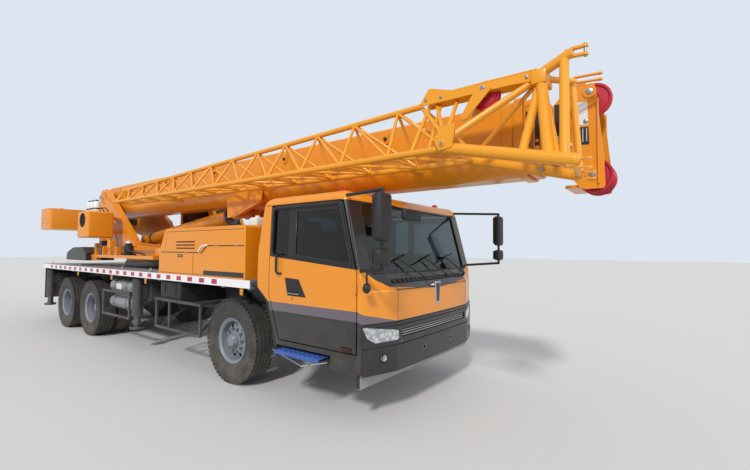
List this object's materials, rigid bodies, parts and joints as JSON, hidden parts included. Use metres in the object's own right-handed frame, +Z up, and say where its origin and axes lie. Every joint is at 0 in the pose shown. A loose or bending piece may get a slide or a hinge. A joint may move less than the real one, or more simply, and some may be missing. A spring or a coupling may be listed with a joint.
{
  "type": "mobile crane",
  "caption": "Truck-mounted telescopic crane with slewing superstructure, stowed lattice jib, outriggers and opening cab doors.",
  "frame": {"origin": "on the ground under the middle of the machine's whole length and width", "axes": "+X ahead, +Y to the vehicle's left, +Z up"},
  "size_m": [12.6, 3, 3.2559],
  "materials": {
    "amber_paint": "gloss amber enamel on sheet steel",
    "frame_paint": "dark blue-black chassis enamel",
    "deck_paint": "pale chequer plate and edge strip",
    "glass": "tinted safety glass",
    "tyre": "black tyre rubber",
    "rim_paint": "blue-grey rim enamel",
    "black_plastic": "moulded black plastic",
    "lamp": "clear lamp lens over chrome",
    "seat_cloth": "dark seat cloth",
    "cast_iron": "cast axle housing",
    "steel": "ground steel and chromed rod",
    "sheave_red": "red sheave enamel",
    "tank_grey": "grey enamel"
  },
  "bodies": {
    "carrier": {"chassis_frame": "frame_paint", "deck": "deck_paint", "outrigger_boxes": "frame_paint", "engine_hood": "amber_paint", "engine_block": "cast_iron", "slew_ring": "steel", "cab_shell": "amber_paint", "cab_glass": "glass", "cab_interior": "seat_cloth", "front_bumper": "black_plastic", "lamps": "lamp", "mirrors": "black_plastic", "side_guards": "frame_paint", "side_tanks": "tank_grey", "front_axle": "cast_iron", "rear_axles": "cast_iron"},
    "steering_left": {"knuckle_left": "cast_iron"},
    "wheel_front_left": {"tyre_front_left": "tyre", "rim_front_left": "rim_paint"},
    "wheels_mid_left": {"tyres_mid_left": "tyre", "rims_mid_left": "rim_paint"},
    "wheels_rear_left": {"tyres_rear_left": "tyre", "rims_rear_left": "rim_paint"},
    "driver_door_left": {"door_left": "amber_paint", "door_glass_left": "glass"},
    "beam_front_left": {"outrigger_beam_front_left": "frame_paint"},
    "foot_front_left": {"jack_front_left": "steel"},
    "beam_rear_left": {"outrigger_beam_rear_left": "frame_paint"},
    "foot_rear_left": {"jack_rear_left": "steel"},
    "steering_right": {"knuckle_right": "cast_iron"},
    "wheel_front_right": {"tyre_front_right": "tyre", "rim_front_right": "rim_paint"},
    "wheels_mid_right": {"tyres_mid_right": "tyre", "rims_mid_right": "rim_paint"},
    "wheels_rear_right": {"tyres_rear_right": "tyre", "rims_rear_right": "rim_paint"},
    "driver_door_right": {"door_right": "amber_paint", "door_glass_right": "glass"},
    "beam_front_right": {"outrigger_beam_front_right": "frame_paint"},
    "foot_front_right": {"jack_front_right": "steel"},
    "beam_rear_right": {"outrigger_beam_rear_right": "frame_paint"},
    "foot_rear_right": {"jack_rear_right": "steel"},
    "turntable": {"turntable_frame": "amber_paint", "counterweight": "amber_paint", "winches": "steel", "machinery_box": "amber_paint", "opcab_shell": "amber_paint", "opcab_glass": "glass", "opcab_seat": "seat_cloth"},
    "operator_door": {"opcab_door": "amber_paint"},
    "boom": {"boom_base": "amber_paint", "jib": "amber_paint"},
    "tele_2": {"boom_2": "amber_paint"},
    "tele_3": {"boom_3": "amber_paint"},
    "tele_4": {"boom_4": "amber_paint"},
    "tele_5": {"boom_5": "amber_paint", "head_sheaves": "sheave_red"},
    "luff_tube": {"luff_barrel": "amber_paint"},
    "luff_piston": {"luff_rod": "steel"}
  },
  "joints": [
    {"name": "steer_left", "type": "hinge", "parent": "carrier", "child": "steering_left", "pos_m": [2, 0.88, 0.53], "axis": [0, 0, 1], "range_deg": [-35, 35]},
    {"name": "spin_front_left", "type": "hinge", "parent": "steering_left", "child": "wheel_front_left", "pos_m": [2, 1.037, 0.53], "axis": [0, 1, 0], "continuous": true},
    {"name": "spin_mid_left", "type": "hinge", "parent": "carrier", "child": "wheels_mid_left", "pos_m": [-2.65, 0.917, 0.53], "axis": [0, 1, 0], "continuous": true},
    {"name": "spin_rear_left", "type": "hinge", "parent": "carrier", "child": "wheels_rear_left", "pos_m": [-4, 0.917, 0.53], "axis": [0, 1, 0], "continuous": true},
    {"name": "driver_door_left_hinge", "type": "hinge", "parent": "carrier", "child": "driver_door_left", "pos_m": [4.112, 1.262, 1.3], "axis": [0, 0, -1], "range_deg": [0, 65]},
    {"name": "beam_front_left_slide", "type": "slide", "parent": "carrier", "child": "beam_front_left", "axis": [0, 1, 0], "range_m": [0, 1.85]},
    {"name": "jack_front_left_slide", "type": "slide", "parent": "beam_front_left", "child": "foot_front_left", "axis": [0, 0, -1], "range_m": [0, 0.45]},
    {"name": "beam_rear_left_slide", "type": "slide", "parent": "carrier", "child": "beam_rear_left", "axis": [0, 1, 0], "range_m": [0, 1.85]},
    {"name": "jack_rear_left_slide", "type": "slide", "parent": "beam_rear_left", "child": "foot_rear_left", "axis": [0, 0, -1], "range_m": [0, 0.45]},
    {"name": "steer_right", "type": "hinge", "parent": "carrier", "child": "steering_right", "pos_m": [2, -0.88, 0.53], "axis": [0, 0, 1], "range_deg": [-35, 35]},
    {"name": "spin_front_right", "type": "hinge", "parent": "steering_right", "child": "wheel_front_right", "pos_m": [2, -1.037, 0.53], "axis": [0, 1, 0], "continuous": true},
    {"name": "spin_mid_right", "type": "hinge", "parent": "carrier", "child": "wheels_mid_right", "pos_m": [-2.65, -0.917, 0.53], "axis": [0, 1, 0], "continuous": true},
    {"name": "spin_rear_right", "type": "hinge", "parent": "carrier", "child": "wheels_rear_right", "pos_m": [-4, -0.917, 0.53], "axis": [0, 1, 0], "continuous": true},
    {"name": "driver_door_right_hinge", "type": "hinge", "parent": "carrier", "child": "driver_door_right", "pos_m": [4.112, -1.262, 1.3], "axis": [0, 0, 1], "range_deg": [0, 65]},
    {"name": "beam_front_right_slide", "type": "slide", "parent": "carrier", "child": "beam_front_right", "axis": [0, -1, 0], "range_m": [0, 1.85]},
    {"name": "jack_front_right_slide", "type": "slide", "parent": "beam_front_right", "child": "foot_front_right", "axis": [0, 0, -1], "range_m": [0, 0.45]},
    {"name": "beam_rear_right_slide", "type": "slide", "parent": "carrier", "child": "beam_rear_right", "axis": [0, -1, 0], "range_m": [0, 1.85]},
    {"name": "jack_rear_right_slide", "type": "slide", "parent": "beam_rear_right", "child": "foot_rear_right", "axis": [0, 0, -1], "range_m": [0, 0.45]},
    {"name": "slew", "type": "hinge", "parent": "carrier", "child": "turntable", "pos_m": [-2.5, 0, 1.4], "axis": [0, 0, 1], "continuous": true},
    {"name": "operator_door_slide", "type": "slide", "parent": "turntable", "child": "operator_door", "axis": [-1, 0, 0], "range_m": [0, 0.6]},
    {"name": "luff", "type": "hinge", "parent": "turntable", "child": "boom", "pos_m": [-4.2, 0, 2.88], "axis": [0, -1, 0], "range_deg": [0, 80]},
    {"name": "extend_2", "type": "slide", "parent": "boom", "child": "tele_2", "axis": [1, 0, 0], "range_m": [0, 7.4]},
    {"name": "extend_3", "type": "slide", "parent": "tele_2", "child": "tele_3", "axis": [1, 0, 0], "range_m": [0, 7.4]},
    {"name": "extend_4", "type": "slide", "parent": "tele_3", "child": "tele_4", "axis": [1, 0, 0], "range_m": [0, 7.4]},
    {"name": "extend_5", "type": "slide", "parent": "tele_4", "child": "tele_5", "axis": [1, 0, 0], "range_m": [0, 7.4]},
    {"name": "luff_tube_pivot", "type": "hinge", "parent": "turntable", "child": "luff_tube", "pos_m": [-2.98, 0, 1.88], "axis": [0, -1, 0], "range_deg": [0, 81.64]},
    {"name": "luff_piston_slide", "type": "slide", "parent": "luff_tube", "child": "luff_piston", "axis": [0.9926, 0, 0.1216], "range_m": [0, 2.0353]}
  ],
  "couplings": [
    {"joint": "steer_right", "follows": "steer_left", "ratio": 1},
    {"joint": "extend_4", "follows": "extend_3", "ratio": 1},
    {"joint": "extend_5", "follows": "extend_3", "ratio": 1},
    {"joint": "luff_tube_pivot", "follows": "luff", "ratio": 1.0167},
    {"joint": "luff_piston_slide", "follows": "luff", "m_per_rad": 1.4505}
  ]
}
